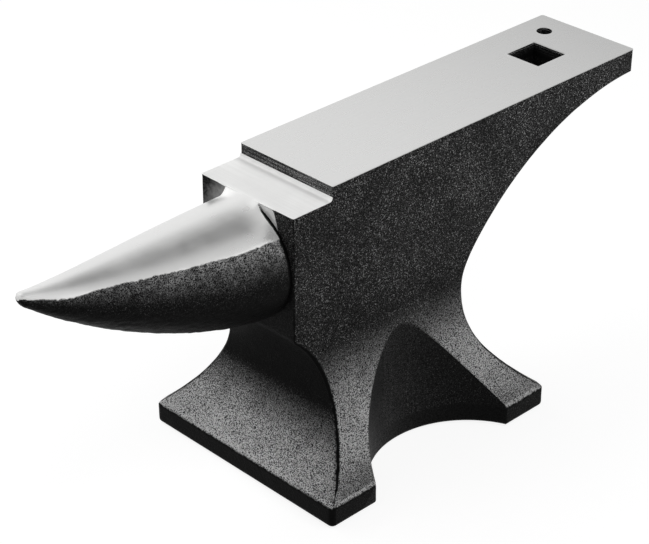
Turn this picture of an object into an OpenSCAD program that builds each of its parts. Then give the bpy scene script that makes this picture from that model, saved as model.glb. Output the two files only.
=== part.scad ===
// Single horn anvil for forging by hand.
// The horn points to -X, the heel to +X, and the base stands on the plane z = 0.
// Lengths are worked out from the step, where the hardened face begins (x = 0 there).
// Each piece is then shifted so that the whole anvil is centred over the origin.
// The anvil is divided where a forged one is welded up: core, four feet, heel,
// cutting table, horn and face plate. The pieces meet face to face, with no gap.

/* [Face] */
// Width of the face and of the body under it
face_w = 98; // [88:1:110]
// Length of the face, from the step to the heel end
face_l = 342; // [320:1:370]
// Height of the face above the floor
face_z = 249.5; // [240:0.5:265]
// Drop from the face to the cutting table, which is also the face plate's thickness
step_h = 11.5; // [8:0.5:15]
// Radius of the upright corners at the heel end
corner_r = 3; // [2:0.5:8]

/* [Holes] */
// Side of the square hardy hole
hardy_w = 33; // [25:0.5:36]
// Distance from the heel end to the middle of the hardy hole
hardy_in = 65; // [57:1:77]
// Diameter of the round pritchel hole
pritchel_d = 13; // [10:0.5:16]
// Distance from the heel end to the middle of the pritchel hole
pritchel_in = 25; // [17:1:33]
// Distance from the centre line to the middle of the pritchel hole
pritchel_y = 25.5; // [20:0.5:32]

/* [Cutting table and horn] */
// Length of the cutting table, from the step to the horn's root
table_l = 39; // [32:1:50]
// Radius of the fillet where the table meets the step
step_fillet_r = 3; // [1:0.5:5]
// Length of the horn, from its root to the tip
horn_l = 204; // [170:1:230]
// Radius of the horn at its root
horn_root_r = 48; // [40:0.5:48.5]
// Radius of the horn just behind its rounded tip
horn_tip_r = 4.5; // [3:0.5:12]
// How fast the horn swells behind the tip: 1 is a cone, 2 is a parabola
horn_fullness = 1.6; // [1.2:0.05:2]
// Depth of the horn's top line below the cutting table
horn_drop = 1.5; // [1:0.5:4]
// Rise of the horn's top line at the tip
horn_rise = 5; // [0:0.5:8]

/* [Base] */
// Distance from the front of the base to the step
base_front = 50.5; // [45:0.5:58]
// Length of the base
base_l = 240; // [230:0.5:250]
// Width of the base
base_w = 201; // [190:1:215]
// Height of the upright band round the foot of the base
band_h = 18.5; // [14:0.5:22]
// Radius of the upright corners of the base
base_corner_r = 3; // [2:0.5:8]

/* [Waist] */
// Radius of the hollow flank, from the body down to the base
flank_r = 155; // [140:1:180]
// Distance from the step back to the thinnest place of the front waist
front_waist_x = -10.8; // [-16:0.2:-6]
// Height of the thinnest place of the front waist
front_waist_z = 79.5; // [74:0.5:86]
// Radius of the front waist at its thinnest place
front_mid_r = 54; // [48:1:60]
// Radius of the front waist above and below that
front_end_r = 76; // [70:1:90]
// Height where the flat front face ends and the waist begins
front_flat_z = 134; // [130:0.5:136]
// Distance from the step to the thinnest place of the rear waist
rear_waist_x = 140.2; // [134:0.2:146]
// Height of the thinnest place of the rear waist
rear_waist_z = 95.5; // [90:0.5:102]
// Radius of the rear waist at its thinnest place
rear_mid_r = 68.5; // [62:0.5:74]
// Radius of the rear waist where it runs out into the foot
rear_foot_r = 189; // [170:1:210]
// Radius of the rear waist where it runs out under the heel
rear_heel_r = 244; // [236:1:260]
// Thickness of the heel at its end, with the face plate
heel_end_h = 20; // [16:0.5:26]

/* [Side arches] */
// Radius of the upright round hollow in each side of the base
arch_r = 80.2; // [74:0.2:86]
// Distance from the step to the middle of the side arches
arch_x = 70; // [64:0.5:76]
// Distance from the centre line to the middle of each arch's radius
arch_y = 132; // [128:0.5:136]

/* [Where the pieces meet] */
// Distance from the centre line to the joint between core and feet
foot_joint_y = 44; // [38:0.5:46]
// Height of the joint between core and feet
foot_joint_z = 108; // [104:0.5:112]
// Distance of the joint between core and heel in front of the rear edge of the base
heel_joint_in = 3.5; // [0:0.5:12]

/* [Hidden] */
$fn = 96;

table_z = face_z - step_h;
base_rear = base_l - base_front;
heel_joint_x = base_rear - heel_joint_in;
horn_tip_x = -table_l - horn_l;
hardy_x = face_l - hardy_in;
pritchel_x = face_l - pritchel_in;
// Middle of the whole anvil, seen from the step
mid_x = (face_l + horn_tip_x) / 2;
heel_end_z = face_z - heel_end_h;

// Height where the hollow flank starts, so that it ends at the band's upper corner
flank_in = flank_r - (base_w - face_w) / 2;
flank_top_z = band_h + sqrt(flank_r * flank_r - flank_in * flank_in);

// Middles of the thin parts of both waists
front_mid = [front_waist_x - front_mid_r, front_waist_z];
rear_mid = [rear_waist_x + rear_mid_r, rear_waist_z];
// Points where the waists end
front_foot_end = [-base_front, band_h];
front_flat_end = [-table_l, front_flat_z];
rear_foot_end = [base_rear, band_h];
rear_heel_end = [face_l, heel_end_z];

// Facets of the horn: rings along it and sides round it
horn_rings = 22;
horn_sides = 44;
// Share of the horn's length taken by the rounded tip
horn_nose = horn_tip_r / horn_l;

// Middles of the outer arcs of both waists
front_low_middle = arc_middle(front_mid, front_mid_r, front_end_r, front_foot_end, -1);
front_high_middle = arc_middle(front_mid, front_mid_r, front_end_r, front_flat_end, 1);
rear_low_middle = arc_middle(rear_mid, rear_mid_r, rear_foot_r, rear_foot_end, 1);
rear_high_middle = arc_middle(rear_mid, rear_mid_r, rear_heel_r, rear_heel_end, -1);
// Extra material that a round cut takes off again, so that no two edges coincide
spare = 10;
// How much deeper an arc bites where it runs into its neighbour
bite = 0.1;

// Straight steps that make up each small upright corner round
corner_steps = 5;

dark = [0.11, 0.11, 0.115];
bright = [0.74, 0.74, 0.73];

// Middle of the arc of radius r that is tangent to the arc of radius r_mid round mid
// and runs through the point end. The side is 1 or -1 and picks one of the two answers.
function arc_middle(mid, r_mid, r, end, side) =
    let (gap = end - mid)
    let (d = norm(gap))
    let (near = r - r_mid)
    let (along = (near * near - r * r + d * d) / (2 * d))
    let (across = side * sqrt(near * near - along * along))
    mid + (gap * along + [-gap[1], gap[0]] * across) / d;

// Radius of the horn at a share s of its length, without the rounded tip
function horn_r(s) =
    horn_tip_r + (horn_root_r - horn_tip_r) * (1 - pow(s, horn_fullness));

// Height of the horn's top line at a share s of its length
function horn_top_z(s) =
    table_z - horn_drop + horn_rise * pow(s, 6);

// Half width of the horn at share s with the tip rounded off as a ball
function horn_round_r(s) =
    let (into_nose = max(0, (s - (1 - horn_nose)) / horn_nose))
    horn_r(s) * sqrt(max(0, 1 - into_nose * into_nose));

// Outer part of a waist: the slice of a disc round c between the middle of the thin part
// and the point beyond, which lies outside the casting past the waist's end
module waist_end(c, r, mid, beyond) {
    intersection() {
        translate(c)
            circle(r, $fn = 180);
        polygon([c, c + (mid - c) * 2 * r / norm(mid - c), c + (beyond - c) * 2 * r / norm(beyond - c)]);
    }
}

// Side view of the casting below the face plate and behind the table
module side_view() {
    difference() {
        polygon([
            [-base_front, 0],
            [base_rear, 0],
            [base_rear, band_h + spare],
            rear_mid,
            [face_l, heel_end_z - spare],
            [face_l, table_z],
            [0, table_z],
            [0, front_flat_z],
            [-table_l - spare, front_flat_z],
            front_mid,
            [-base_front, band_h + spare]
        ]);
        translate(front_mid)
            circle(front_mid_r + bite, $fn = 180);
        waist_end(front_low_middle, front_end_r, front_mid, [-base_front - spare, 0]);
        waist_end(front_high_middle, front_end_r, front_mid, [-table_l - 2 * spare, front_flat_z]);
        translate(rear_mid)
            circle(rear_mid_r + bite, $fn = 180);
        waist_end(rear_low_middle, rear_foot_r, rear_mid, [base_rear + spare, 0]);
        waist_end(rear_high_middle, rear_heel_r, rear_mid, [face_l + 2 * spare, heel_end_z]);
    }
}

// End view: band of the base, hollow flanks and straight body
module end_view() {
    difference() {
        union() {
            translate([-base_w / 2, -spare])
                square([base_w, flank_top_z + spare]);
            translate([-face_w / 2, 0])
                square([face_w, face_z]);
        }
        for (side = [-1, 1]) {
            translate([side * (face_w / 2 + flank_r - bite), flank_top_z])
                circle(flank_r, $fn = 180);
        }
    }
}

// The whole casting under face plate and table, before it is divided
module casting() {
    intersection() {
        translate([0, base_w, 0])
            rotate([90, 0, 0])
                linear_extrude(2 * base_w)
                    side_view();
        translate([-2 * base_front, 0, 0])
            rotate([90, 0, 90])
                linear_extrude(face_l + 3 * base_front)
                    end_view();
    }
}

// Upright tools for both side arches
module side_arches() {
    for (side = [-1, 1]) {
        translate([arch_x, side * arch_y, -1])
            cylinder(h = flank_top_z, r = arch_r, $fn = 180);
    }
}

// Square and round tool holes through the heel
module tool_holes() {
    translate([hardy_x - hardy_w / 2, -hardy_w / 2, table_z / 2])
        cube([hardy_w, hardy_w, face_z]);
    translate([pritchel_x, pritchel_y, table_z / 2])
        cylinder(h = face_z, d = pritchel_d);
}

// Points of a round corner, seen from above, in short straight steps.
// It turns from the direction start by 90 degrees against the clock.
function round_corner(middle, r, start) = [
    for (i = [0 : corner_steps])
        let (a = start + 90 * i / corner_steps)
        middle + r * [cos(a), sin(a)]
];

// Rectangle from x1 to x2 whose two corners at x2 are round
module round_end_plan(x1, x2) {
    in_x = x2 - corner_r;
    in_y = face_w / 2 - corner_r;
    polygon(concat(
        [[x1, face_w / 2], [x1, -face_w / 2]],
        round_corner([in_x, -in_y], corner_r, -90),
        round_corner([in_x, in_y], corner_r, 0)
    ));
}

// Room that one foot takes up, seen from above: an oblong with its outer corner round.
// It starts at the middle of the arch. Both values are 1 or -1: the front is at -X
// and the left side at -Y.
module foot_plan(front, left) {
    outer_x = front == 1 ? base_front + arch_x : base_rear - arch_x;
    outer_y = base_w / 2 - foot_joint_y;
    in_x = outer_x - base_corner_r;
    in_y = outer_y - base_corner_r;
    translate([arch_x, -left * foot_joint_y])
        mirror([front == 1 ? 1 : 0, 0])
            mirror([0, left == 1 ? 1 : 0])
                polygon(concat(
                    [[0, outer_y], [0, 0], [outer_x, 0]],
                    round_corner([in_x, in_y], base_corner_r, 0)
                ));
}

// One corner of the base, up to the joint with the core
module foot(front, left) {
    difference() {
        intersection() {
            casting();
            linear_extrude(foot_joint_z)
                foot_plan(front, left);
        }
        side_arches();
    }
}

// Shift from the step's own x to the middle of the whole anvil
module anvil_place() {
    translate([-mid_x, 0, 0])
        children();
}

// Middle of the anvil, from the floor up to the face plate
module core_body() {
    core_l = heel_joint_x + base_front;
    color(dark)
        anvil_place()
            difference() {
                intersection() {
                    casting();
                    translate([-base_front, 0, 0]) {
                        translate([0, -foot_joint_y, 0])
                            cube([base_l, 2 * foot_joint_y, rear_waist_z + bite]);
                        translate([0, -foot_joint_y, rear_waist_z])
                            cube([core_l, 2 * foot_joint_y, table_z]);
                        translate([0, -base_w / 2, foot_joint_z])
                            cube([core_l, base_w, table_z]);
                    }
                }
                side_arches();
            }
}

// Overhanging rear end with the lower part of both tool holes
module heel() {
    color(dark)
        anvil_place()
            difference() {
                intersection() {
                    casting();
                    translate([0, 0, rear_waist_z])
                        linear_extrude(table_z)
                            round_end_plan(heel_joint_x, face_l);
                }
                tool_holes();
            }
}

// Hardened plate whose top is the face
module face_plate() {
    color(bright)
        anvil_place()
            difference() {
                translate([0, 0, table_z])
                    linear_extrude(step_h)
                        round_end_plan(0, face_l);
                tool_holes();
            }
}

// Softer block in front of the step, for cutting on, with the fillet at the step's foot
module cutting_table() {
    color(bright)
        anvil_place() {
            translate([-table_l, -face_w / 2, front_flat_z])
                cube([table_l, face_w, table_z - front_flat_z]);
            translate([0, face_w / 2, table_z])
                rotate([90, 0, 0])
                    linear_extrude(face_w)
                        difference() {
                            translate([-step_fillet_r, 0])
                                square(step_fillet_r);
                            translate([-step_fillet_r, step_fillet_r])
                                circle(step_fillet_r);
                        }
        }
}

// Round tapered horn: level along its top, curved underneath, with a blunt tip
module horn() {
    // Shares of the length: even along the cone, closer together round the tip
    shares = [
        for (i = [0 : horn_rings - 1]) i / horn_rings * (1 - horn_nose),
        for (i = [0 : 4]) 1 - horn_nose * cos(i * 18)
    ];
    last = len(shares) - 1;
    rings = [
        for (s = shares)
            for (k = [0 : horn_sides - 1])
                let (r = horn_round_r(s))
                let (a = 360 * k / horn_sides)
                [
                    -table_l - s * horn_l,
                    r * sin(a),
                    horn_top_z(s) - horn_r(s) + r * cos(a)
                ]
    ];
    tip = [[horn_tip_x, 0, horn_top_z(1) - horn_r(1)]];
    sides = [
        for (i = [0 : last - 1])
            for (k = [0 : horn_sides - 1])
                let (m = (k + 1) % horn_sides)
                [
                    i * horn_sides + k,
                    i * horn_sides + m,
                    (i + 1) * horn_sides + m,
                    (i + 1) * horn_sides + k
                ]
    ];
    nose = [
        for (k = [0 : horn_sides - 1])
            [
                last * horn_sides + k,
                last * horn_sides + (k + 1) % horn_sides,
                (last + 1) * horn_sides
            ]
    ];
    root = [[for (k = [horn_sides - 1 : -1 : 0]) k]];
    color(bright)
        anvil_place()
            polyhedron(points = concat(rings, tip), faces = concat(sides, nose, root));
}

module front_left_foot() {
    color(dark)
        anvil_place()
            foot(1, 1);
}

module front_right_foot() {
    color(dark)
        anvil_place()
            foot(1, -1);
}

module rear_left_foot() {
    color(dark)
        anvil_place()
            foot(-1, 1);
}

module rear_right_foot() {
    color(dark)
        anvil_place()
            foot(-1, -1);
}

core_body();
face_plate();
cutting_table();
horn();
heel();
front_left_foot();
front_right_foot();
rear_left_foot();
rear_right_foot();
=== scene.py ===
"""Looks of the single horn anvil: sand-cast body in black paint, ground horn, milled top faces."""

import math

import bmesh
import bpy
import numpy as np
from mathutils import Euler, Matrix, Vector


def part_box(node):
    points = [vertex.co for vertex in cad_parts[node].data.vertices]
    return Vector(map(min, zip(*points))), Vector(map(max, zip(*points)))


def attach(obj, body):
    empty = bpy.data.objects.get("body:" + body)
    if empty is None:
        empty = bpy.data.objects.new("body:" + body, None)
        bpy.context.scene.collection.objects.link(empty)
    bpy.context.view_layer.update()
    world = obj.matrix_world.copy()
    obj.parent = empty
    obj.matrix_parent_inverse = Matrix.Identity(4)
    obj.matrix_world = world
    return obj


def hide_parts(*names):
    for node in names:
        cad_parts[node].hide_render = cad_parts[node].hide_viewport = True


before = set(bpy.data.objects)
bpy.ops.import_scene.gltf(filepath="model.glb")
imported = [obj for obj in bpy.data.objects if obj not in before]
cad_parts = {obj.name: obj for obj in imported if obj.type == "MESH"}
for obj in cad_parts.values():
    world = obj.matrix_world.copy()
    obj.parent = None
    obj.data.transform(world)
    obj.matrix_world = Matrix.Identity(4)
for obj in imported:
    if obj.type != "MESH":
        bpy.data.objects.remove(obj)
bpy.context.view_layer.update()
scene = bpy.context.scene

# Sizes read from the frame, in millimetres. Lengths along the anvil count from the step.
# In comments, right is -Y, as seen from in front of the horn. The names of the feet are
# those of the CAD's nodes, seen the other way round.
MM = 0.001


def node_box(name):
    """Lowest and highest corner of a CAD node in millimetres."""
    return [np.round(np.array(corner) / MM, 2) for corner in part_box(name)]


plate_low, plate_high = node_box("face_plate")
table_low = node_box("cutting_table")[0]
foot_low, foot_high = node_box("front_left_foot")
rear_foot_high = node_box("rear_left_foot")[1]
horn_low, horn_high = node_box("horn")
heel_low = node_box("heel")[0]
step_at = plate_low[0]
face_w = plate_high[1] - plate_low[1]
face_l = plate_high[0] - step_at
face_z = plate_high[2]
table_z = plate_low[2]
table_l = step_at - table_low[0]
flat_z = table_low[2]
base_front = step_at - foot_low[0]
base_rear = rear_foot_high[0] - step_at
base_w = -2 * foot_low[1]
foot_joint_y = -foot_high[1]
foot_joint_z = foot_high[2]
arch_x = foot_high[0] - step_at
heel_joint_x = heel_low[0] - step_at
horn_l = horn_high[0] - horn_low[0]
half_face = face_w / 2
half_base = base_w / 2

# Sizes that no box gives, as in the part's own source
band_h = 18.5
corner_r = 3.0
step_fillet_r = 3.0
flank_r = 155.0
front_waist = np.array([-10.8, 79.5])
front_mid_r = 54.0
front_end_r = 76.0
rear_waist = np.array([140.2, 95.5])
rear_mid_r = 68.5
rear_foot_r = 189.0
rear_heel_r = 244.0
heel_end_z = 229.5
arch_r = 80.2
arch_y = 132.0
hardy_w = 33.0
hardy_in = 65.0
pritchel_d = 13.0
pritchel_in = 25.0
pritchel_y = 25.5
horn_root_r = 48.0
horn_tip_r = 4.5
horn_fullness = 1.6
horn_drop = 1.5
horn_rise = 5.0

# Radii of the broken edges, which the part's source leaves sharp
edge_r = 3.0
block_edge_r = 1.4
base_edge_r = 5.0
fold_r = 2.5
arch_edge_r = 0.8
foot_edge_r = 4.0
rim_r = 0.3

flank_y = half_face + flank_r
flank_z = band_h + math.sqrt(flank_r ** 2 - (flank_y - half_base) ** 2)
root_z = table_z - horn_drop - horn_root_r
hardy_x = face_l - hardy_in
pritchel_x = face_l - pritchel_in


def arc_middle(mid, mid_r, r, end, side):
    """Middle of the arc of radius r that touches the arc of radius mid_r round mid and
    runs through the point end. The side, 1 or -1, picks one of the two answers."""
    gap = end - mid
    d = math.hypot(*gap)
    near = r - mid_r
    along = (near ** 2 - r ** 2 + d ** 2) / (2 * d)
    across = side * math.sqrt(near ** 2 - along ** 2)
    return mid + (gap * along + np.array([-gap[1], gap[0]]) * across) / d


front_mid = front_waist - [front_mid_r, 0]
rear_mid = rear_waist + [rear_mid_r, 0]
front_foot_end = np.array([-base_front, band_h])
front_flat_end = np.array([-table_l, flat_z])
rear_foot_end = np.array([base_rear, band_h])
rear_heel_end = np.array([face_l, heel_end_z])
front_low = arc_middle(front_mid, front_mid_r, front_end_r, front_foot_end, -1)
front_high = arc_middle(front_mid, front_mid_r, front_end_r, front_flat_end, 1)
rear_low = arc_middle(rear_mid, rear_mid_r, rear_foot_r, rear_foot_end, 1)
rear_high = arc_middle(rear_mid, rear_mid_r, rear_heel_r, rear_heel_end, -1)

# Each waist: middle and radius of its middle arc, and middle, radius and end of its outer arcs
front_arcs = (front_mid, front_mid_r, (
    (front_low, front_end_r, front_foot_end), (front_high, front_end_r, front_flat_end)))
rear_arcs = (rear_mid, rear_mid_r, (
    (rear_low, rear_foot_r, rear_foot_end), (rear_high, rear_heel_r, rear_heel_end)))


# Distances to the surfaces of the casting, positive outside it


def beyond(x, z, middle, mid, end):
    """True where a point lies on the same side of the line middle to mid as the arc's end."""
    line = mid - middle
    turn_end = line[0] * (end - middle)[1] - line[1] * (end - middle)[0]
    turn = line[0] * (z - middle[1]) - line[1] * (x - middle[0])
    return turn * turn_end > 0


def waist_gap(x, z, mid, mid_r, outer):
    """How deep a point lies in a waist: the radius of the arc that governs there, less
    the distance to that arc's middle. Neighbouring arcs touch, so the value is even."""
    gap = mid_r - np.hypot(x - mid[0], z - mid[1])
    for middle, r, end in outer:
        gap = np.where(beyond(x, z, middle, mid, end), r - np.hypot(x - middle[0], z - middle[1]), gap)
    return gap


def meet(a, b, r):
    """Distance to the common part of two bodies, with the edge between them rounded to
    radius r: inside the rounding it is the distance to the circle of that radius."""
    return np.minimum(np.maximum(a, b), -r) + np.hypot(np.maximum(a + r, 0), np.maximum(b + r, 0))


def ramp(value, start, end):
    """Even change from 0 at start to 1 at end, with soft ends."""
    t = np.clip((value - start) / (end - start), 0, 1)
    return t * t * (3 - 2 * t)


def casting_gap(p, rounding=1.0, front_x=-table_l, top_z=1000.0):
    """Distance to the skin of the casting: side view, end view, side arches, floor and
    top, met with rounded edges. A rounding of 0 gives the same body with sharp edges."""
    x, y, z = p[:, 0], np.abs(p[:, 1]), p[:, 2]
    r = rounding * (block_edge_r + (edge_r - block_edge_r) * ramp(z, flat_z, flat_z - 20)
                    + (base_edge_r - edge_r) * ramp(z, band_h + 14, band_h))
    front = np.where(z > front_waist[1], front_x - x, -base_front - x)
    rear = np.where(z > rear_waist[1], x - face_l, x - base_rear)
    side = np.maximum(meet(waist_gap(x, z, *front_arcs), front, rounding * fold_r),
                      meet(waist_gap(x, z, *rear_arcs), rear, rounding * fold_r))
    flank = np.where(z > flank_z, y - half_face, flank_r - np.hypot(y - flank_y, z - flank_z))
    end = meet(flank, y - half_base, rounding * fold_r)
    gap = meet(side, end, r)
    gap = meet(gap, arch_r - np.hypot(x - arch_x, y - arch_y), rounding * arch_edge_r)
    gap = meet(gap, -z, rounding * foot_edge_r)
    return meet(gap, z - top_z, rounding * rim_r)


def slope(gap, p, h=0.01):
    """Direction in which a distance grows fastest, from differences over a short length."""
    out = np.empty_like(p)
    for axis in range(3):
        shift = np.zeros(3)
        shift[axis] = h
        out[:, axis] = (gap(p + shift) - gap(p - shift)) / (2 * h)
    return out / np.maximum(np.linalg.norm(out, axis=1, keepdims=True), 1e-9)


# Unevenness of a sand casting

lattice_n = 32
lattices = [np.random.default_rng(seed).random((lattice_n,) * 3) - 0.5 for seed in (11, 23, 37)]


def lumps(p, size, lattice):
    """Smooth random field from -0.5 to 0.5: random values on a cubic lattice with cells of
    the given size, blended between the eight corners of the cell with a soft ramp."""
    q = p / size
    cell = np.floor(q).astype(int)
    t = q - cell
    t = t * t * (3 - 2 * t)
    total = np.zeros(len(p))
    for step in np.ndindex(2, 2, 2):
        corner = (cell + step) % lattice_n
        total += np.abs(1 - np.array(step) - t).prod(axis=1) * lattice[tuple(corner.T)]
    return total


# Depth below the skin over which the unevenness dies out
dip_depth = 4.0


def cast_dip(p):
    """Depth below the true surface in millimetres, from broad hollows to small pits."""
    broad = 0.30 * (0.5 + lumps(p, 26.0, lattices[0]))
    middle = 0.16 * (0.5 + lumps(p, 9.0, lattices[1]))
    small = 0.12 * (0.5 + lumps(p, 3.6, lattices[2]))
    return broad + middle + small


def settle(p, **kind):
    """Moves the points of the sharp outline to the rounded skin and then down by the
    casting's unevenness, which dies out over a few millimetres of depth, so that the
    covered faces of a joint follow their outer edge."""
    def rounded(q):
        return casting_gap(q, **kind)
    depth = -casting_gap(p, rounding=0.0, **kind)
    near = depth < dip_depth
    q = p[near]
    on_skin = (depth[near] < 0.02) | (rounded(q) > 0)
    for _ in range(5):
        q[on_skin] -= rounded(q[on_skin])[:, None] * slope(rounded, q[on_skin])
    top_z = kind.get("top_z", 1000.0)
    rough = ramp(q[:, 2], 0.2, 4.0) * ramp(top_z - q[:, 2], 0.1, 1.5)
    share = np.where(on_skin, 1.0, 1 - depth[near] / dip_depth)
    out = p.copy()
    out[near] = q - slope(rounded, q) * (cast_dip(q) * rough * share)[:, None]
    return out


# Grids and meshes


def merged(*runs):
    """All places of the runs in rising order, each once."""
    return np.unique(np.concatenate(runs).round(6))


def steps(start, end, coarse, near=(), ends="both"):
    """Places from start to end: the given short distances near the ends, and even steps
    of about the coarse size between them."""
    length = end - start
    near = np.array([n for n in near if n < 0.45 * length])
    first = start + (near if ends in ("both", "start") else near[:0])
    last = end - (near if ends in ("both", "end") else near[:0])[::-1]
    a = first[-1] if len(first) else start
    b = last[0] if len(last) else end
    middle = np.linspace(a, b, max(math.ceil((b - a) / coarse), 1) + 1)
    return merged([start], first, middle, last, [end])


# Distances from an edge at which a grid has a line, and the same with one on the rim
fine = (0.4, 0.8, 1.2, 1.7, 2.3, 3.0, 3.8, 4.8, 6.0, 7.4)
rim_fine = (rim_r / 3,) + fine


def sheet_quads(rows, cols, keep=None):
    """Corner numbers of the cells of a grid, less the cells that keep leaves out."""
    i, k = np.meshgrid(np.arange(rows - 1), np.arange(cols - 1), indexing="ij")
    a = i * cols + k
    quads = np.stack([a, a + 1, a + cols + 1, a + cols], -1)
    return (quads if keep is None else quads[keep]).reshape(-1, 4)


def patch(grid, keep=None):
    """A grid of points, shaped (rows, columns, 3), with its cells."""
    grid = np.asarray(grid, float)
    return grid.reshape(-1, 3), sheet_quads(*grid.shape[:2], keep)


def stack_of_rings(rings):
    """Skin through closed rings, shaped (rings, points, 3): the first point closes each."""
    return patch(np.concatenate([rings, rings[:, :1]], axis=1))


def grid_of(*axes):
    """Grid of points from one array for each axis, broadcast to rows and columns."""
    return np.stack(np.broadcast_arrays(*axes), -1).astype(float)


def settle_grid(grid, **kind):
    """A grid with its points moved to the rounded skin."""
    return settle(grid.reshape(-1, 3), **kind).reshape(grid.shape)


def raised(plan, z):
    """The outline at each height z, moved to the rounded skin, as rings of points."""
    return settle_grid(grid_of(plan[..., 0], plan[..., 1], z[:, None]))


def with_lids(rings):
    """Skin through the rings, and the point numbers of a flat lid at either end."""
    count = rings.shape[1] + 1
    lids = [np.arange(count - 1), (len(rings) - 1) * count + np.arange(count - 1)]
    return [stack_of_rings(rings)], lids


def join(points, quads, lids):
    """Joins points that coincide to a thousandth of a millimetre, and turns cells that
    have collapsed at a pole into triangles."""
    key = np.round(points / 0.001).astype(np.int64)
    _, first, place = np.unique(key, axis=0, return_index=True, return_inverse=True)
    place = place.reshape(-1)
    quads = place[quads]
    twin = quads == np.roll(quads, -1, axis=1)
    faces = quads[~twin.any(axis=1)].tolist()
    for face, same in zip(quads[twin.sum(axis=1) == 1], twin[twin.sum(axis=1) == 1]):
        faces.append(face[~same].tolist())
    faces = [f for f in faces if len(set(f)) == len(f)]
    for lid in lids:
        loop = place[lid]
        faces.append(loop[loop != np.roll(loop, -1)].tolist())
    return points[first], faces


def new_object(name, data):
    """An object with this data, placed in the scene."""
    made = bpy.data.objects.new(name, data)
    scene.collection.objects.link(made)
    return made


# Edges that turn by more than this stay crisp in the shading
crisp_angle = math.radians(38)


def make_piece(name, node, material, form, fields):
    """One closed piece from its form: patches of grid, and flat lids as lists of point
    numbers. The fields are values per point that the material reads."""
    patches, lids = form
    points = np.concatenate([p for p, _ in patches])
    starts = np.cumsum([0] + [len(p) for p, _ in patches[:-1]])
    quads = np.concatenate([q + s for (_, q), s in zip(patches, starts)])
    points, faces = join(points, quads, lids)
    mesh = bpy.data.meshes.new(name)
    mesh.from_pydata((points + [step_at, 0, 0]) * MM, [], faces)
    shape = bmesh.new()
    shape.from_mesh(mesh)
    bmesh.ops.recalc_face_normals(shape, faces=shape.faces)
    shape.to_mesh(mesh)
    shape.free()
    for label, values in fields(points).items():
        layer = mesh.attributes.new(label, "FLOAT", "POINT")
        layer.data.foreach_set("value", np.full(len(points), values, np.float32))
    mesh.shade_smooth()
    mesh.set_sharp_from_angle(angle=crisp_angle)
    piece = new_object(name, mesh)
    mesh.materials.append(material)
    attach(piece, "root")
    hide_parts(node)


# Outlines of the casting at a height


def arc_x(z, middle, r, side):
    """Place of an arc at the height z, on the side 1 or -1 of its middle."""
    return middle[0] + side * np.sqrt(np.maximum(r ** 2 - (z - middle[1]) ** 2, 0))


def waist_x(z, side, mid, mid_r, outer):
    """Place of a waist at the height z: the middle arc between the two points where the
    outer arcs touch it, and the outer arcs beyond them."""
    x = arc_x(z, mid, mid_r, side)
    for middle, r, end in outer:
        touch = middle[1] + (mid - middle)[1] / np.hypot(*(mid - middle)) * r
        x = np.where((z < touch) if end[1] < touch else (z > touch), arc_x(z, middle, r, side), x)
    return x


def front_x_at(z):
    """Front of the casting below the flat face: base band, then the waist."""
    return np.where(z <= band_h, -base_front, waist_x(z, 1, *front_arcs))


def rear_x_at(z):
    """Rear of the casting: base band, then the waist."""
    return np.where(z <= band_h, base_rear, waist_x(z, -1, *rear_arcs))


def half_width_at(z):
    """Half width of the casting: base band, hollow flank, straight body."""
    flank = flank_y - np.sqrt(np.maximum(flank_r ** 2 - (flank_z - z) ** 2, 0))
    return np.where(z <= band_h, half_base, np.where(z < flank_z, flank, half_face))


def heel_under(x):
    """Height of the heel's underside at the place x."""
    return rear_high[1] + np.sqrt(rear_heel_r ** 2 - (x - rear_high[0]) ** 2)


# How far the outlines on the underside lie inside its edge
foot_insets = np.array([7.0, 5.0, 4.0, 3.2, 2.5, 1.9, 1.3, 0.8, 0.4])


def core_body():
    """Rectangle of front, rear and both sides at each height, from the floor to the plate.
    The width steps out at the joint above the feet, and the front steps back at the table."""
    low = merged(steps(0, band_h, 1.7, fine), steps(band_h, foot_joint_z, 1.7, fine[:6], "start"))
    middle = steps(foot_joint_z, flat_z, 1.5, fine[:5], "end")
    high = np.union1d(steps(flat_z, table_z, 1.9), heel_under(heel_joint_x))
    z = np.concatenate([0 * foot_insets, low, middle, high])
    joint = len(foot_insets) + len(low)
    half = np.concatenate([np.full(joint, foot_joint_y), half_width_at(middle), half_width_at(high)])
    front = np.concatenate([-base_front + foot_insets, front_x_at(low), front_x_at(middle), high * 0])
    rear = np.concatenate([base_rear - foot_insets, rear_x_at(low), rear_x_at(middle), rear_x_at(high)])
    rear = np.where((z > rear_waist[1]) & (rear > heel_joint_x), heel_joint_x, rear)
    across = steps(-1, 1, 1.7 / half_face, np.array(fine) / half_face)
    span = base_rear + base_front
    along = steps(0, 1, 2.2 / span, np.array(fine) / span)
    front, rear, half = front[:, None], rear[:, None], half[:, None]
    sides = [grid_of(front, half * across), grid_of(front + (rear - front) * along, half),
             grid_of(rear, -half * across), grid_of(rear + (front - rear) * along, -half)]
    rings = raised(np.concatenate([side[:, :-1] for side in sides], axis=1), z)
    # Against the feet both sides are flat, drawn straight between the settled corners
    a, b = len(across) - 1, len(along) - 1
    for start, end in ((a, a + b), (2 * a + b, 0)):
        edge = rings[:joint, start, None].copy()
        rings[:joint, start:start + b] = edge + (rings[:joint, end, None] - edge) * along[:-1, None]
    return with_lids(rings)


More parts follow.
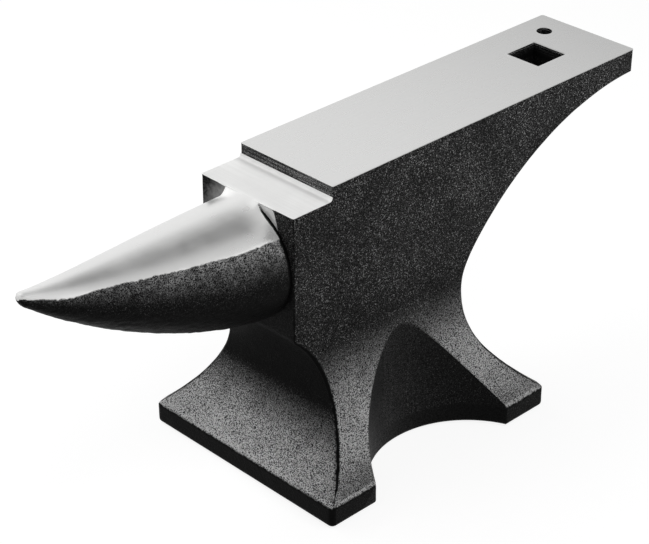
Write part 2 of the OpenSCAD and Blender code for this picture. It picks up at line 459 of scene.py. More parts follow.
def foot(end_x, left):
    """One corner of the base. At each height the outline runs along the end face, the hollow
    flank, the round side arch, and back along the two joints. end_x gives the end face."""
    z = merged(steps(0, band_h, 1.5, fine), steps(band_h, foot_joint_z, 1.5, fine[:6], "start"))
    z = np.concatenate([0 * foot_insets, z])
    inset = np.concatenate([foot_insets, np.zeros(len(z) - len(foot_insets))])
    outward = np.sign(end_x(z)[0] - arch_x)
    end = (end_x(z) - outward * inset)[:, None]
    half = (half_width_at(z) - inset)[:, None]
    reach = (arch_r + inset)[:, None]
    root = arch_y - reach
    angle = np.arccos(np.clip((arch_y - half) / reach, -1, 1)) * (half > root)
    arch_end = arch_x + outward * reach * np.sin(angle)
    near = np.array(fine) / 50
    t_end = steps(0, 1, 1.5 / 50, near, "end")[:-1]
    t_flank = steps(0, 1, 1.5 / 60, near * 0.8)[:-1]
    t_arch = steps(0, 1, 1.4 / 90, near * 0.5, "start")[:-1]
    t_back = np.linspace(0, 1, 3)[:-1]
    t_inner = np.linspace(0, 1, 5)[:-1]
    last_y = np.minimum(half, root)
    plan = np.concatenate([
        grid_of(end, foot_joint_y + (half - foot_joint_y) * t_end),
        grid_of(end + (arch_end - end) * t_flank, half),
        grid_of(arch_x + outward * reach * np.sin(angle * (1 - t_arch)),
                np.where(angle > 0, arch_y - reach * np.cos(angle * (1 - t_arch)), half)),
        grid_of(arch_x, last_y + (foot_joint_y - last_y) * t_back),
        grid_of(arch_x + (end - arch_x) * t_inner, foot_joint_y),
    ], axis=1)
    plan[..., 1] *= -1 if left else 1
    return with_lids(raised(plan, z))


def round_plan(p):
    """Rounds the two upright corners at the heel end: the square at a corner goes over into
    a quarter disc, where each offset shrinks by the root of 1 less half the other's square."""
    out = p.copy()
    a = (p[..., 0] - (face_l - corner_r)) / corner_r
    b = (np.abs(p[..., 1]) - (half_face - corner_r)) / corner_r
    inside = (a > 0) & (b > 0)
    far = face_l - corner_r + corner_r * a * np.sqrt(1 - np.clip(b, 0, 1) ** 2 / 2)
    wide = half_face - corner_r + corner_r * b * np.sqrt(1 - np.clip(a, 0, 1) ** 2 / 2)
    out[..., 0] = np.where(inside, far, p[..., 0])
    out[..., 1] = np.where(inside, np.sign(p[..., 1]) * wide, p[..., 1])
    return out


# A ring of cells fills a square round the pritchel hole, with this half side and so many
# cells to a side. The rim of either hole has this width and lies so much lower.
pritchel_cell = 9.0
pritchel_parts = 14
hole_rim = 0.25
hole_rim_drop = 0.12
cell_lines = pritchel_cell * np.linspace(-1, 1, pritchel_parts + 1)


def lines_across():
    """Places across the heel and the plate, with lines along both holes."""
    hole = hardy_w / 2
    return merged(steps(-half_face, -hole - hole_rim, 1.9, rim_fine, "start"), steps(-hole, hole, 2.2),
                  pritchel_y + cell_lines, half_face - np.array((0,) + rim_fine),
                  steps(pritchel_y + pritchel_cell, half_face - fine[-1], 2.0))


def lines_along(start, coarse):
    """Places along the heel and the plate, with lines along both holes."""
    low, high = hardy_x - hardy_w / 2, hardy_x + hardy_w / 2
    return merged(steps(start, low - hole_rim, coarse, rim_fine, "start"), steps(low, high, 2.2),
                  steps(high + hole_rim, pritchel_x - pritchel_cell, 2.2), pritchel_x + cell_lines,
                  steps(pritchel_x + pritchel_cell, face_l, 2.0, rim_fine, "end"))


def pierced_sheet(x, y, height, drop=0.0):
    """Grid over x and y at the height for each x, without the cells of both holes. A ring of
    cells fills the square round the pritchel hole: each goes straight from the square's
    edge to the circle. The rims of both holes lie lower by the drop."""
    def lifted(px, py, low=0.0):
        return round_plan(np.stack([px, py, height(px) - low], -1))
    gx, gy = np.meshgrid(x, y, indexing="ij")
    hole = hardy_w / 2 + 1e-6
    on_rim = (np.abs(gx - hardy_x) < hole) & (np.abs(gy) < hole)
    mx, my = np.meshgrid((x[:-1] + x[1:]) / 2, (y[:-1] + y[1:]) / 2, indexing="ij")
    hardy = (np.abs(mx - hardy_x) < hole) & (np.abs(my) < hole)
    square = (np.abs(mx - pritchel_x) < pritchel_cell) & (np.abs(my - pritchel_y) < pritchel_cell)
    main = patch(lifted(gx, gy, drop * on_rim), ~(hardy | square))
    t = np.linspace(-1, 1, pritchel_parts + 1)[:-1]
    edge = np.concatenate([grid_of(t, -1), grid_of(1, t), grid_of(-t, 1), grid_of(-1, -t)])
    angle = np.arctan2(edge[:, 1], edge[:, 0])
    circle = np.stack([np.cos(angle), np.sin(angle)], -1) * pritchel_d / 2
    rim = circle * (1 + 2 * hole_rim / pritchel_d)
    outer = edge * pritchel_cell
    share = np.array([0, 0.25, 0.5, 0.75, 1])[:, None, None]
    rings = np.concatenate([outer * (1 - share) + rim * share, circle[None]])
    low = np.zeros(rings.shape[:2])
    low[-1] = drop
    ring = stack_of_rings(lifted(rings[..., 0] + pritchel_x, rings[..., 1] + pritchel_y, low))
    return [main, ring], circle


def hole_walls(x, y, low, high, circle, drop, rows):
    """Walls of both holes between the heights low and high, the upper rim lower by the drop."""
    hole = hardy_w / 2
    sx = x[np.abs(x - hardy_x) <= hole + 1e-6]
    sy = y[np.abs(y) <= hole + 1e-6]
    sides = (grid_of(sx, -hole), grid_of(sx[-1], sy), grid_of(sx[::-1], hole), grid_of(sx[0], sy[::-1]))
    square = np.concatenate([side[:-1] for side in sides])
    share = np.linspace(0, 1, rows)[:, None]
    walls = []
    for plan in (square, circle + [pritchel_x, pritchel_y]):
        px, py = plan[:, 0], plan[:, 1]
        z = low(px) * (1 - share) + (high(px) - drop) * share
        walls.append(stack_of_rings(grid_of(px, py, z)))
    return walls


def wall(x, y, z, **kind):
    """Upright or sloping side wall from arrays that broadcast to rows and columns."""
    return patch(settle_grid(round_plan(grid_of(x, y, z)), **kind))


def settled(piece, **kind):
    """A patch with its points moved to the rounded skin."""
    points, quads = piece
    return settle(points, **kind), quads


def level_at(height):
    """The same height all along a sheet."""
    return lambda x: height + 0 * x


def heel():
    """Underside, both sides and end of the heel, with the holes through it. The underside is
    the upper arc of the rear waist."""
    x = lines_along(heel_joint_x, 2.0)
    y = lines_across()
    top = level_at(table_z)
    share = steps(0, 1, 0.045, (0.006, 0.013, 0.022, 0.033), "start")
    bottom, circle = pierced_sheet(x, y, heel_under)
    lid, _ = pierced_sheet(x, y, top)
    walls = hole_walls(x, y, heel_under, top, circle, 0.0, 12)
    patches = [settled(p) for p in bottom + lid + walls]

    def upright(px, py):
        return wall(px, py, heel_under(px) * (1 - share) + table_z * share)
    patches += [upright(x[:, None], side * half_face) for side in (-1, 1)]
    patches += [upright(place, y[:, None]) for place in (heel_joint_x, face_l)]
    return patches, []


def face_plate():
    """Flat face with both holes, upright walls with a small break along the top edge."""
    kind = {"front_x": 0.0, "top_z": face_z}
    x = lines_along(0.0, 3.0)
    y = lines_across()
    z = steps(table_z, face_z, 1.5, rim_fine[:5], "end")
    top, under = level_at(face_z), level_at(table_z)
    face, circle = pierced_sheet(x, y, top, hole_rim_drop)
    back, _ = pierced_sheet(x, y, under)
    patches = [settled(p, **kind) for p in face + back]
    patches += [wall(x[:, None], side * half_face, z, **kind) for side in (-1, 1)]
    patches += [wall(place, y[:, None], z, **kind) for place in (0.0, face_l)]
    patches += hole_walls(x, y, under, top, circle, hole_rim_drop, 6)
    return patches, []


# How the table is ground over at its front edge, above the horn
blend_half = 30.0
blend_l = 3.0
blend_drop = 0.35

# Power with which the walls of the table follow the edge of its top
wall_follow = 40


def table_height(x, y):
    """Top of the table: a fillet rises to the step, and the front edge is ground over a
    little where the horn begins."""
    t = np.clip((x + step_fillet_r) / step_fillet_r, 0, 1)
    fillet = step_fillet_r * (1 - np.sqrt(1 - t ** 2))
    ground = blend_drop * ramp(-x, table_l - blend_l, table_l)
    return table_z + fillet - ground * ramp(blend_half - np.abs(y), 0, blend_half * 0.3)


def cutting_table():
    """Block in front of the step: top with fillet and ground front edge, and upright walls
    that follow the edge of the top."""
    kind = {"top_z": table_z}
    curve = -step_fillet_r * np.cos(np.linspace(0, math.pi / 2, 9))
    x = merged(steps(-table_l, -step_fillet_r, 1.2, rim_fine, "start"), curve)
    y = steps(-half_face, half_face, 1.4, rim_fine)
    z = steps(flat_z, table_z, 1.5, rim_fine[:7])
    gx, gy = np.meshgrid(x, y, indexing="ij")
    top = settle_grid(grid_of(gx, gy, table_z), **kind)
    top[..., 2] += table_height(gx, gy) - table_z
    share = ((z - flat_z) / (table_z - flat_z))[:, None] ** wall_follow
    walls = [(x[:, None], -half_face, top[:, 0]), (x[:, None], half_face, top[:, -1]),
             (-table_l, y[:, None], top[0]), (0.0, y[:, None], top[-1])]
    patches = [patch(top)]
    for px, py, edge in walls:
        grid = settle_grid(grid_of(px, py, z), **kind)
        patches.append(patch(grid + share * (edge - grid[:, -1])[:, None]))
    return patches + [patch(settle_grid(grid_of(gx, gy, flat_z), **kind))], []


# Horn


def horn_r(s):
    """Radius of the horn at a share s of its length, without the rounded tip."""
    return horn_tip_r + (horn_root_r - horn_tip_r) * (1 - s ** horn_fullness)


def horn_top(s):
    """Height of the horn's top line at a share s of its length."""
    return table_z - horn_drop + horn_rise * s ** 6


# Angle from the top line down to where the grinding ends, and how much wider near the tip
ground_angle = math.radians(51)
ground_more = math.radians(16)

# Depth of the groove beside the horn's root on the right
root_groove = 1.0


def ground_edge(x, y, z):
    """Distance along the horn's skin from the lower edge of the ground part, in millimetres,
    positive on the bare metal: the angle left over times the radius."""
    s = np.clip((-x - table_l) / horn_l, 0, 1)
    r = horn_r(s)
    angle = np.arctan2(np.abs(y), z - (horn_top(s) - r))
    limit = ground_angle + ground_more * (ramp(s, 0.72, 0.93) - ramp(s, 0.965, 1.0))
    return (limit - angle) * r


# The ground blend between the horn's root and the table's front edge. It ends at an angle
# from the top line, sooner on the right, where a groove starts instead.
root_l = 9.0
root_in = 1.0
root_top = 237.85
root_left = np.radians([24.0, 31.0])
root_right = np.radians([14.0, 22.0])


def root_blend(dx, angle):
    """How far the horn's skin swells to meet the table's front edge. In the angle under
    that edge the swelling reaches the edge's height, and with the distance dx from the
    block it falls off as the square of what is left."""
    reach = (root_top - root_z) / np.cos(np.clip(angle, -root_right[1], root_left[1])) - horn_root_r
    share = (1 - ramp(angle, *root_left)) * (1 - ramp(-angle, *root_right))
    left = np.clip(1 - (dx + root_in) / (root_l + root_in), 0, 1)
    return reach * share * left ** 2


def horn():
    """Rings round the horn's curved middle line, closer together at the ball of the tip.
    Below the ground part the skin is as uneven as the rest of the casting."""
    nose = horn_tip_r / horn_l
    along = steps(0, 1 - nose, 1.3 / horn_l, np.array(fine) / horn_l, "start")
    tip = 1 - nose * np.cos(np.linspace(0, math.pi / 2, 12))[1:]
    s = np.concatenate([along, tip])[:, None]
    into = np.clip((s - (1 - nose)) / nose, 0, 1)
    dx = np.concatenate([[-root_in], along * horn_l, tip * horn_l])[:, None]
    s = np.concatenate([s[:1], s])
    into = np.concatenate([into[:1], into])
    thin = np.sqrt(np.maximum(1 - into ** 2, 0))
    r = horn_r(s) * thin
    angle = np.linspace(-math.pi, math.pi, 233)[:-1]
    swollen = r + root_blend(dx, angle)
    x = -table_l - dx + 0 * angle
    middle = horn_top(s) - horn_r(s)
    y = swollen * np.sin(angle)
    z = middle + swollen * np.cos(angle)
    p = np.stack([x, y, z], -1).reshape(-1, 3)
    bare = ground_edge(*p.T)
    edge_wander = 3.0 * lumps(p, 7.0, lattices[1]) + 1.6 * lumps(p, 2.4, lattices[2])
    rough = ramp(-(bare + edge_wander), 0.0, 1.6)
    pits = 0.55 * (0.5 + lumps(p * (0.7, 1, 1), 2.7, lattices[0]))
    pits = pits + 0.3 * (0.5 + lumps(p, 6.0, lattices[2]))
    waves = 0.10 * (0.5 + lumps(p * (0.35, 1, 1), 15.0, lattices[1]))
    groove = root_groove * ramp(-angle, *root_right) * (1 - ramp(dx, 0.3, 3.0)) + 0 * x
    sunk = rough * pits + waves * (1 - rough) * ramp(dx + 0 * x, 0, 6).reshape(-1) + groove.reshape(-1)
    inward = sunk * (thin / np.maximum(r, 1) + 0 * x).reshape(-1)
    axis = np.stack([x, 0 * y, middle + 0 * z], -1).reshape(-1, 3)
    p = p + (axis - p) * np.minimum(inward, 0.3)[:, None]
    rings = p.reshape(x.shape + (3,))
    return [stack_of_rings(rings)], [np.arange(x.shape[1])]


# Node helpers


def give(tree, node, inputs):
    """Sets a node's inputs. Each is a constant or another node's socket."""
    for key, value in inputs.items():
        if isinstance(value, bpy.types.NodeSocket):
            tree.links.new(value, node.inputs[key])
        else:
            node.inputs[key].default_value = value
    return node


def put(tree, kind, inputs=(), **settings):
    """A new node with its settings and inputs."""
    node = tree.nodes.new(kind)
    for key, value in settings.items():
        setattr(node, key, value)
    return give(tree, node, dict(inputs))


def maths(tree, operation, a, b, clamp=False):
    """Result of a Math node."""
    return put(tree, "ShaderNodeMath", {0: a, 1: b}, operation=operation, use_clamp=clamp).outputs[0]


def plus(tree, a, b, clamp=False):
    """Sum of two numbers."""
    return maths(tree, "ADD", a, b, clamp)


def times(tree, a, b):
    """Product of two numbers."""
    return maths(tree, "MULTIPLY", a, b)


def blend(tree, share, a, b):
    """Mix of two numbers."""
    return put(tree, "ShaderNodeMix", {0: share, 2: a, 3: b}, data_type="FLOAT").outputs[0]


def blend_colour(tree, share, a, b):
    """Mix of two colours."""
    return put(tree, "ShaderNodeMix", {0: share, 6: a, 7: b}, data_type="RGBA").outputs[2]


def spread(tree, value, low, high, to_low=0.0, to_high=1.0):
    """Value stretched from one range to another and kept inside it."""
    return put(tree, "ShaderNodeMapRange", {0: value, 1: low, 2: high, 3: to_low, 4: to_high}).outputs[0]


def noise(tree, vector, scale, detail=2.0, roughness=0.5):
    """Value of a noise texture."""
    inputs = {"Vector": vector, "Scale": scale, "Detail": detail, "Roughness": roughness}
    return put(tree, "ShaderNodeTexNoise", inputs).outputs["Fac"]


def field(tree, name):
    """Value that the mesh carries under this name at each point."""
    return put(tree, "ShaderNodeAttribute", attribute_name=name).outputs["Fac"]


def stretched(tree, vector, scale):
    """Coordinates scaled by a different factor on each axis."""
    return put(tree, "ShaderNodeMapping", {"Vector": vector, "Scale": scale}).outputs[0]


FLOAT, COLOUR, VECTOR = "NodeSocketFloat", "NodeSocketColor", "NodeSocketVector"


def new_group(name, inputs):
    """Empty shader node group with these inputs, which gives colour, roughness and height."""
    tree = bpy.data.node_groups.new(name, "ShaderNodeTree")
    for label, kind in inputs.items():
        tree.interface.new_socket(label, in_out="INPUT", socket_type=kind)
    for label, kind in {"Color": COLOUR, "Roughness": FLOAT, "Height": FLOAT}.items():
        tree.interface.new_socket(label, in_out="OUTPUT", socket_type=kind)
    return tree, tree.nodes.new("NodeGroupInput"), tree.nodes.new("NodeGroupOutput")


# Tones of the paint and of the grey for grit, painted sheen and painted glints, and
# heights of grain and tool marks in metres
black_paint = (0.004, 0.004, 0.004, 1)
sheen_and_grit_grey = (0.62, 0.62, 0.62, 1)
specular = 0.02
paint_bump = 0.0020
steel_bump = 0.000018


def cast_paint_group():
    """Black paint over sand-cast grain. The second input is the painted sheen where the
    surface looks up, and the step face's own grey: there the tops of the grain are painted
    paler. Grain is how coarse the sand has left the skin, and how many painted glint specks
    show."""
    tree, given, out = new_group("cast_paint", {"Vector": VECTOR, "Dust": FLOAT, "Grain": FLOAT})
    at, dust, grain = given.outputs[:3]
    sand = noise(tree, at, 800.0, 2.0, 0.55)
    pits = noise(tree, at, 1300.0, 0.0)
    height = plus(tree, times(tree, sand, 0.6), times(tree, pits, 0.4))
    tops = plus(tree, spread(tree, pits, 0.36, 0.64, 0.0, 0.62), spread(tree, sand, 0.36, 0.64, 0.0, 0.38))
    mottle = spread(tree, noise(tree, at, 38.0, 3.0), 0.3, 0.7, 0.8, 1.2)
    # Painted sheen: tops of the grain go grey where the surface gets sheen, and on the step face its own
    # grey.
    sheen_and_step_grey = times(tree, times(tree, dust, mottle), spread(tree, tops, 0.15, 0.85, 0.0, 1.3))
    patchy = spread(tree, noise(tree, at, 22.0, 2.0), 0.3, 0.7, 0.6, 1.4)
    # Painted glints: grey specks on the tops of the grain and at random, standing for the paint's gloss.
    painted_glints = plus(tree, spread(tree, tops, 0.35, 1.0, 0.0, 0.125),
                  spread(tree, noise(tree, at, 1200.0, 0.0), 0.67, 0.77, 0.0, 0.58))
    specks = times(tree, times(tree, painted_glints, patchy), grain)
    share = plus(tree, sheen_and_step_grey, times(tree, specks, maths(tree, "SUBTRACT", 1.0, dust)), True)
    give(tree, out, {"Color": blend_colour(tree, share, black_paint, sheen_and_grit_grey),
                     "Roughness": spread(tree, sand, 0.3, 0.7, 0.50, 0.38),
                     "Height": times(tree, height, spread(tree, grain, 0.0, 1.0, 0.25, 1.0))})
    return tree


def worked_steel_group():
    """Bare steel worked in one direction: fine streaks in tone, roughness and height, and
    faint broad patches. Streaks comes in already stretched along the tool's path."""
    tree, given, out = new_group("worked_steel", {"Streaks": VECTOR, "Vector": VECTOR, "Tone": FLOAT})
    streaks, at, tone = given.outputs[:3]
    lines = noise(tree, streaks, 1.0, 3.0, 0.6)
    patches = noise(tree, at, 60.0, 2.0)
    tone = plus(tree, tone, spread(tree, lines, 0.25, 0.75, -0.034, 0.034))
    tone = plus(tree, tone, spread(tree, patches, 0.3, 0.7, -0.02, 0.02))
    colour = put(tree, "ShaderNodeCombineColor", {0: tone, 1: tone, 2: times(tree, tone, 0.992)})
    rough = plus(tree, spread(tree, lines, 0.3, 0.7, 0.25, 0.35),
                 spread(tree, patches, 0.3, 0.7, -0.03, 0.03))
    give(tree, out, {"Color": colour.outputs[0], "Roughness": rough, "Height": lines})
    return tree


cast_paint = cast_paint_group()
worked_steel = worked_steel_group()


def use_group(tree, group, inputs):
    """A group placed in a material."""
    return put(tree, "ShaderNodeGroup", inputs, node_tree=group).outputs


def new_material(name):
    """Material with an empty Principled BSDF, and its Object coordinates."""
    material = bpy.data.materials.new(name)
    material.use_nodes = True
    tree = material.node_tree
    at = put(tree, "ShaderNodeTexCoord").outputs["Object"]
    return material, tree, tree.nodes["Principled BSDF"], at


def painted(tree, at, stripes=None):
    """The paint with this surface's painted sheen and grain. Stripes break up the pale tone."""
    dust = field(tree, "dust")
    if stripes:
        lines = noise(tree, stretched(tree, at, stripes), 1.0, 2.0)
        dust = times(tree, dust, spread(tree, lines, 0.42, 0.66))
    return use_group(tree, cast_paint, {"Vector": at, "Dust": dust, "Grain": field(tree, "grain")})


def bumped(tree, height, distance):
    """Normal that a height gives the surface."""
    inputs = {"Height": height, "Distance": distance, "Strength": 1.0}
    return put(tree, "ShaderNodeBump", inputs).outputs[0]


def painted_casting():
    """Sand-cast skin in black paint."""
    material, tree, surface, at = new_material("painted_casting")
    paint = painted(tree, at)
    give(tree, surface, {"Base Color": paint["Color"], "Roughness": paint["Roughness"],
                         "Normal": bumped(tree, paint["Height"], paint_bump),
                         "Specular IOR Level": specular})
    return material


def half_ground(name, streaks, edge_noise, edge_soft, metal, rough, stripes=None):
    """Bare steel that goes over into black paint where the field bare, a distance in
    millimetres, falls below 0. Noise makes the edge of the paint wander, as far as
    edge_noise times the field ragged. The metallic part is metal times the field sheen,
    and rough is what the tool has added to the steel's roughness."""
    material, tree, surface, at = new_material(name)
    paint = painted(tree, at, stripes)
    steel = use_group(tree, worked_steel, {"Streaks": stretched(tree, at, streaks), "Vector": at,
                                           "Tone": field(tree, "tone")})
    wander = plus(tree, spread(tree, noise(tree, at, 330.0, 3.0, 0.65), 0.2, 0.8, -1.0, 1.0),
                  spread(tree, noise(tree, at, 60.0, 2.0), 0.2, 0.8, -1.0, 1.0))
    wander = times(tree, wander, times(tree, field(tree, "ragged"), edge_noise))
    share = spread(tree, plus(tree, field(tree, "bare"), wander), -edge_soft, edge_soft)
    steel_rough = plus(tree, steel["Roughness"], rough)
    height = blend(tree, share, times(tree, paint["Height"], paint_bump),
                   times(tree, steel["Height"], steel_bump))
    give(tree, surface, {"Base Color": blend_colour(tree, share, paint["Color"], steel["Color"]),
                         "Roughness": blend(tree, share, paint["Roughness"], steel_rough),
                         "Metallic": times(tree, share, times(tree, field(tree, "sheen"), metal)),
                         "Normal": bumped(tree, height, 1.0),
                         "Specular IOR Level": specular})
    return material


# Heights between which the upper end of the front wall catches the light: above them more
# specks are painted there, as painted light
lit_z = (185, 205)


def skin_fields(p):
    """The paint is painted paler where the surface looks up, a painted sheen of the lamps
    above: most on the middle of the flanks and the foot of the waists, with painted shade
    beside the ridge and toward the front right corner of the base. The rim above the base
    band has a painted highlight, the band itself has none, and in the arches the painted
    sheen is faint and grows toward their front end. Band and arches came smoother out of
    the mould. Steep waists and front corners get fewer specks as painted shade, and a
    painted dark line without sheen or grain runs along the ridge down to the band."""
    x, y, z = p[:, 0], np.abs(p[:, 1]), p[:, 2]
    nx, ny, nz = slope(casting_gap, p).T
    nx, ny = np.abs(nx), np.abs(ny)
    to_side = ny / (nx + ny + 0.001)
    # Painted light: the paint is made paler the more the skin looks up, as a sheen from the lamps above.
    on_side = ramp(nz, 0.08, 0.60) * (1.17 - 0.68 * ramp(nz, 0.54, 0.74))
    on_waist = ramp(nz, 0.20, 0.84) * (1.04 - 0.2 * ramp(nz, 0.88, 1)) * (1 + 0.16 * p[:, 1] / half_base)
    dust = on_side * to_side + on_waist * (1 - to_side)
    waist = np.maximum(waist_gap(x, z, *front_arcs), waist_gap(x, z, *rear_arcs))
    flank = flank_r - np.hypot(y - flank_y, z - flank_z)
    # Painted shade: a dark line without sheen or specks along the ridge between waist and flank.
    near = (waist > -edge_r) & (flank > -edge_r) & (z < flat_z) & (z > band_h)
    off = np.abs(waist - flank) + 1.6 * lumps(p, 2.2, lattices[1])
    slim = 0.45 + 0.55 * ramp(z, band_h, band_h + 25)
    painted_ridge_line = near * (1 - ramp(off, 1.1 * slim, 2.3 * slim))
    # Painted shade: less sheen on the waists beside the ridge.
    beside = 0.6 * near * ramp(np.abs(waist - flank), 34, 0) * (1 - ramp(to_side, 0.1, 0.5))
    side = np.where(z > flank_z, y - half_face, flank)
    arch = ramp(arch_r - np.hypot(x - arch_x, y - arch_y) - side, -0.25, 0.25)
    ragged = 2.0 * lumps(p, 1.9, lattices[2])
    band = 1 - ramp(z + ragged, band_h - 1.6, band_h - 0.4)
    # Painted shade: fewer specks on steep waists facing the ends, less so on the upper front wall on the
    # right.
    painted_shade = (1 - to_side) * (1 - ramp(nz, 0.1, 0.5)) * (1 - 0.6 * ramp(z, *lit_z) * (p[:, 1] < 0))
    # Painted shade: no specks on the front corners, a dark line down the edge.
    corner = ramp(np.minimum(nx, ny), 0.08, 0.3) * (x < 50)
    grain = (1 - 0.7 * arch) * (1 - 0.85 * band) * (1 - painted_ridge_line) * (1 - 0.92 * painted_shade)
    # Fewer specks low on the body, and more toward the heel as painted light on the sides.
    grain = grain * (1 - 0.3 * ramp(z, 200, 120)) * (1 + 0.25 * ramp(x, -20, 200)) * (1 - corner)
    # Painted highlight: the paint is palest just above the base band.
    painted_rim_highlight = 1 + 0.7 * ramp(z, band_h + 2.5, band_h + 0.3)
    # Painted shade: less sheen toward the front right corner of the base.
    toe = 0.34 * ramp(-p[:, 1], half_base - 45, half_base) * ramp(z, band_h + 45, band_h) * (x < 0)
    dust = dust * (1 - toe) * (1 - beside) * (1 - painted_ridge_line) * (1 - band) * painted_rim_highlight
    # Painted light: a faint sheen in the arches, growing toward their front end.
    dust = dust + arch * (0.009 + 0.042 * ramp(x - arch_x, 50, -50))
    return {"dust": dust, "grain": grain}


def plate_fields(p):
    """Bare depth of the face plate: inwards from the nearest edge on top, downwards below.
    The steel is painted darker towards the heel, a painted reflection. The step's face is
    brushed in stripes, and both holes are black inside, painted a little paler near their
    mouth as painted light."""
    inside = np.minimum(np.minimum(p[:, 0], face_l - p[:, 0]), half_face - np.abs(p[:, 1]))
    below = face_z - p[:, 2]
    bare = np.where(below > rim_r + 0.1, -below, np.minimum(inside + 0.6, 6.0))
    outside = (inside < 1.5) & (below > 0)
    # Painted reflection: the steel gets darker toward the heel.
    tone = 0.745 - 0.235 * (p[:, 0] / face_l) ** 1.35
    # Own grey on the step face; in the holes a little painted light near the mouth.
    dust = np.where(outside, 0.44 * (p[:, 0] < 0.8), 0.12 * ramp(below, 9, 0))
    return {"bare": bare, "dust": dust, "grain": skin_fields(p)["grain"] * outside, "tone": tone,
            "ragged": 1, "sheen": 1}


def table_fields(p):
    """Bare depth of the table: inwards from the sides on top, downwards on the walls. On
    the front wall the grinder has left metal along the horn: a short stripe on the right,
    and a soft haze on the left. The steel is painted darker at the foot of the fillet and
    paler in the strip beside it, a painted reflection of the fillet."""
    x, y, z = p.T
    inside = np.minimum(half_face - np.abs(y), 6.0)
    below = table_height(x, y) - z
    front = x < -table_l + 0.7
    from_horn = np.hypot(y, z - root_z) - horn_root_r
    angle = np.degrees(np.arctan2(-y, z - root_z))
    stripe = 10.5 * ramp(angle, 12, 16) * (1 - ramp(angle, 26, 48)) - 2.0 - from_horn
    haze = 0.17 * (1 - ramp(from_horn, -2, 17)) * ramp(-angle, 12, 20) * (1 - ramp(-angle, 30, 80)) - 0.25
    ragged = np.where(front & (angle < 0), 0.1, 1.0)
    on_front = np.where(np.abs(angle) < 70, np.where(angle > 0, stripe, haze), -4.0)
    bare = np.where(below > rim_r + 0.1, np.where(front, on_front, -below), inside + 0.6)
    skin = skin_fields(p)
    # Painted light: more specks on the upper front wall on the right, where it catches the light.
    grain = np.where(front, 0.12 + 0.75 * (y < 0) * ramp(z, *lit_z), skin["grain"])
    from_fillet = -x - step_fillet_r
    # Painted reflection: a paler strip beside the fillet and a dark line at its foot.
    tone = 0.84 + 0.09 * ramp(from_fillet, 1.5, 6) * (1 - ramp(from_fillet, 6, 26))
    tone = tone - 0.10 * (1 - ramp(np.abs(from_fillet - 0.5), 0, 3))
    return {"bare": bare, "dust": np.where(front, 0, skin["dust"]), "grain": grain, "tone": tone,
            "ragged": ragged, "sheen": 1}


def horn_fields(p):
    """Bare depth of the horn, kept within the reach of the edge's noise. Below the edge the
    paint gets a painted sheen that thins out as the skin turns down, most near the root,
    and fewer specks lower down as painted shade. The groove beside the root is plain black
    paint, a painted shade line. The steel is duller at the root and near the tip, and is
    painted paler on the left of the root as painted light, where the block's shadow falls."""
    x, y, z = p.T
    bare = np.clip(ground_edge(x, y, z) + 3.0 * lumps(p * (0.6, 1, 1), 12.0, lattices[0]), -20, 20)
    dx = -x - table_l
    angle = np.arctan2(y, z - root_z)
    wide = ramp(-angle, root_right[0], 0.55) * (1 - 0.35 * ramp(-angle, 0.6, 0.85))
    in_groove = wide * (dx < 7)
    bare = np.where(in_groove > 0, np.minimum(bare, 2.4 * (dx - 0.8 - 2.8 * in_groove)), bare)
    # Painted shade: a dark line in the groove, plain black paint without sheen or specks.
    black = ramp(-angle, *root_right) * (1 - ramp(dx, 2.5, 4.5))
    s = np.clip(dx / horn_l, 0, 1)
    level = (z - horn_top(s) + horn_r(s)) / horn_r(s)
    up = np.clip(level, 0, 1)
    # Painted sheen below the edge: paler the more the skin looks up, most near the root.
    near_root = ramp(s, 0.75, 0.1)
    wrinkles = 1 + 1.3 * lumps(p, 2.9, lattices[1]) + 1.0 * lumps(p, 1.7, lattices[2])
    at_root = 0.3 - 0.22 * ramp(angle, -0.1, 0.3)
    sheen = (at_root + (1 - at_root) * ramp(dx, 2, 24)) * (1 - 0.55 * ramp(s, 0.75, 0.98))
    # Painted shade: fewer specks lower down. Painted light: the tone is raised on the left of the root,
    # where the block's shadow falls.
    return {"bare": bare, "dust": (0.62 + 0.5 * near_root) * up ** 1.7 * wrinkles * (1 - black),
            "grain": (0.02 + 0.4 * ramp(level, -0.5, 0.5)) * (1 - black),
            "tone": 0.8 + 0.3 * ramp(angle, 0.1, 0.5) * ramp(dx, 14, 4), "ragged": 1, "sheen": sheen}


paint = painted_casting()
face_steel = half_ground("milled_face", (42.0, 430.0, 430.0), 0.25, 0.12, 1.0, 0.0, (600.0, 16.0, 1150.0))
table_steel = half_ground("milled_table", (1500.0, 10.0, 1500.0), 0.4, 0.25, 0.35, 0.3)
horn_steel = half_ground("ground_horn", (7.0, 50.0, 50.0), 0.8, 0.35, 1.0, 0.0)

make_piece("core_body_cast", "core_body", paint, core_body(), skin_fields)
for end_name, end_x in (("front", front_x_at), ("rear", rear_x_at)):
    for side_name, left in (("left", True), ("right", False)):
        corner = f"{end_name}_{side_name}_foot"
        make_piece(f"{corner}_cast", corner, paint, foot(end_x, left), skin_fields)
make_piece("heel_cast", "heel", paint, heel(), skin_fields)
make_piece("face_plate_milled", "face_plate", face_steel, face_plate(), plate_fields)
make_piece("cutting_table_milled", "cutting_table", table_steel, cutting_table(),
           table_fields)
make_piece("horn_ground", "horn", horn_steel, horn(), horn_fields)


# Studio

# Radius of the floor and how far it lies below the anvil, in metres
floor_r = 7.0
floor_gap = 0.0002


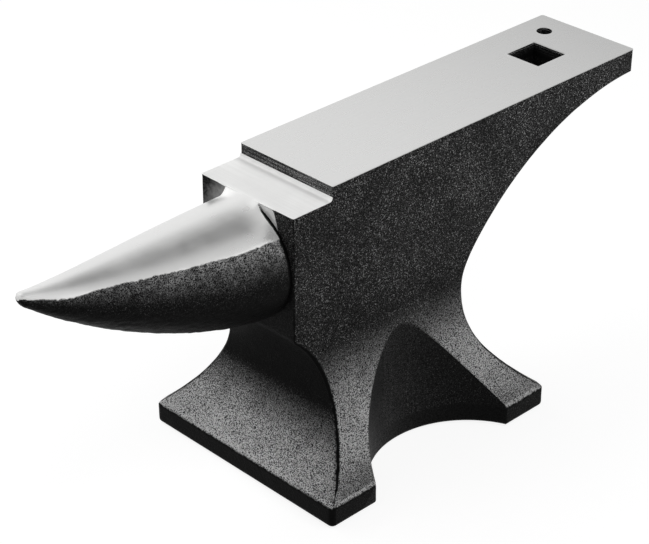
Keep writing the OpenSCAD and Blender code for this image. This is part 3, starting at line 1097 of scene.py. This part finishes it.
def studio_floor():
    """Flat disc under the anvil: pale grey for the light that it throws back, white for
    the eye and for reflections, so that the shadow stays on it."""
    mesh = bpy.data.meshes.new("studio_floor")
    angle = np.linspace(0, 2 * math.pi, 97)[:-1]
    rim = np.stack([floor_r * np.cos(angle), floor_r * np.sin(angle), 0 * angle - floor_gap], -1)
    mesh.from_pydata(rim, [], [list(range(len(rim)))])
    material = bpy.data.materials.new("studio_floor")
    material.use_nodes = True
    tree = material.node_tree
    tree.nodes.clear()
    rays = put(tree, "ShaderNodeLightPath").outputs
    seen = maths(tree, "MAXIMUM", rays["Is Camera Ray"],
                 maths(tree, "MAXIMUM", rays["Is Glossy Ray"], rays["Is Transmission Ray"]))
    thrown = put(tree, "ShaderNodeBsdfDiffuse", {"Color": (0.45, 0.45, 0.45, 1)}).outputs[0]
    shown = put(tree, "ShaderNodeBsdfDiffuse", {"Color": (0.22, 0.22, 0.22, 1)}).outputs[0]
    glow = put(tree, "ShaderNodeEmission", {"Color": (1, 1, 1, 1), "Strength": 0.85}).outputs[0]
    white = put(tree, "ShaderNodeAddShader", {0: shown, 1: glow}).outputs[0]
    mixed = put(tree, "ShaderNodeMixShader", {0: seen, 1: thrown, 2: white}).outputs[0]
    put(tree, "ShaderNodeOutputMaterial", {"Surface": mixed})
    mesh.materials.append(material)
    floor = new_object("studio_floor", mesh)


def toward(azimuth, elevation):
    """Direction from angles in degrees: the azimuth turns from +X towards +Y."""
    a, e = math.radians(azimuth), math.radians(elevation)
    return Vector((math.cos(a) * math.cos(e), math.sin(a) * math.cos(e), math.sin(e)))


def studio_world():
    """A white tent, dim overhead where it is open, with a bright panel on the left. The eye
    sees plain white, and so do reflections apart from the opening."""
    world = bpy.data.worlds.new("studio")
    scene.world = world
    world.use_nodes = True
    tree = world.node_tree
    tree.nodes.clear()
    at = put(tree, "ShaderNodeTexCoord").outputs["Generated"]
    rise = put(tree, "ShaderNodeSeparateXYZ", {0: at}).outputs[2]
    tent = spread(tree, rise, 0.55, 0.78, 1.0, 0.24)

    def panel(azimuth, elevation, outer, inner, level):
        near = put(tree, "ShaderNodeVectorMath", {0: at, 1: toward(azimuth, elevation)},
                   operation="DOT_PRODUCT").outputs["Value"]
        edge, full = math.cos(math.radians(outer)), math.cos(math.radians(inner))
        return spread(tree, near, edge, full, 0.0, level)
    seen = maths(tree, "MAXIMUM", tent, panel(115, 48, 62, 28, 1.0))
    seen = maths(tree, "MAXIMUM", seen, panel(-48, 44, 26, 8, 0.72))
    rays = put(tree, "ShaderNodeLightPath").outputs
    mirror = maths(tree, "MAXIMUM", rays["Is Glossy Ray"], rays["Is Transmission Ray"])
    strength = blend(tree, mirror, times(tree, tent, 0.32), seen)
    strength = blend(tree, rays["Is Camera Ray"], strength, 1.0)
    background = put(tree, "ShaderNodeBackground", {"Color": (1, 1, 1, 1), "Strength": strength})
    put(tree, "ShaderNodeOutputWorld", {"Surface": background.outputs[0]})


def softbox(name, azimuth, elevation, distance, size, power):
    """Rectangular lamp that looks at the middle of the anvil. The steel mirrors the tent,
    not the lamp."""
    away = toward(azimuth, elevation)
    lamp = bpy.data.lights.new(name, "AREA")
    lamp.shape = "RECTANGLE"
    lamp.size, lamp.size_y = size
    lamp.energy = power
    holder = new_object(name, lamp)
    holder.location = Vector((0, 0, 0.12)) + away * distance
    holder.rotation_euler = away.to_track_quat("Z", "Y").to_euler()
    holder.visible_glossy = False


studio_floor()
studio_world()
softbox("softbox_left", 118, 52, 1.6, (1.5, 1.4), 16)
softbox("softbox_right", -80, 60, 1.6, (1.4, 1.0), 11.6)

# Camera at the photograph's place, solved from the anvil's straight edges

camera_azimuth = -44.212
camera_elevation = 30.263
camera_distance = 1.5814
camera_target = Vector((-0.01018, 0.0, 0.14302))
camera = bpy.data.cameras.new("camera")
camera.lens = 115.08
camera.sensor_width = 36.0
camera.sensor_fit = "HORIZONTAL"
camera.clip_end = 50.0
holder = new_object("camera", camera)
holder.location = camera_target + camera_distance * toward(camera_azimuth - 90, camera_elevation)
holder.rotation_euler = Euler((math.radians(90 - camera_elevation), 0, math.radians(camera_azimuth)))
scene.camera = holder
scene.view_settings.view_transform = "Standard"
